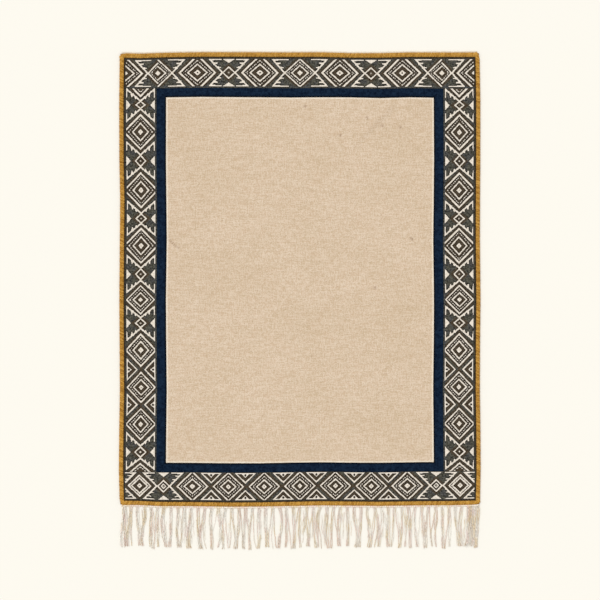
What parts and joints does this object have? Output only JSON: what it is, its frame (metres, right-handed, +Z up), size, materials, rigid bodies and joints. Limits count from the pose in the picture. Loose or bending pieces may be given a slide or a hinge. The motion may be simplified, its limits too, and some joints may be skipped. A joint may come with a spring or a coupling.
{
  "type": "zanafi rug",
  "caption": "Flatwoven rug lying flat: plain cream field, navy tape frame, patterned diamond bands, gold bound edge and a warp fringe at one end.",
  "frame": {"origin": "on the floor plane, under the middle of the whole rug with its fringe", "axes": "+Y along the rug's length towards its plain end, away from the fringe; +X to the right; +Z up out of its upper side"},
  "size_m": [1.2039, 1.6588, 0.0063],
  "materials": {
    "cream_cloth": "heathered plain weave, matt",
    "charcoal_band": "cream and charcoal figured weave, matt",
    "navy_tape": "ribbed weave, matt",
    "gold_binding": "whipped yarn, matt",
    "warp_fringe": "twisted undyed yarn, matt"
  },
  "bodies": {
    "root": {"ground_cloth": "cream_cloth", "navy_tape_left": "navy_tape", "navy_tape_right": "navy_tape", "navy_tape_bottom": "navy_tape", "navy_tape_top": "navy_tape", "diamond_band_left": "charcoal_band", "diamond_band_right": "charcoal_band", "diamond_band_bottom": "charcoal_band", "diamond_band_top": "charcoal_band", "gold_binding_left": "gold_binding", "gold_binding_right": "gold_binding", "gold_binding_bottom": "gold_binding", "gold_binding_top": "gold_binding", "fringe": "warp_fringe"}
  },
  "joints": []
}
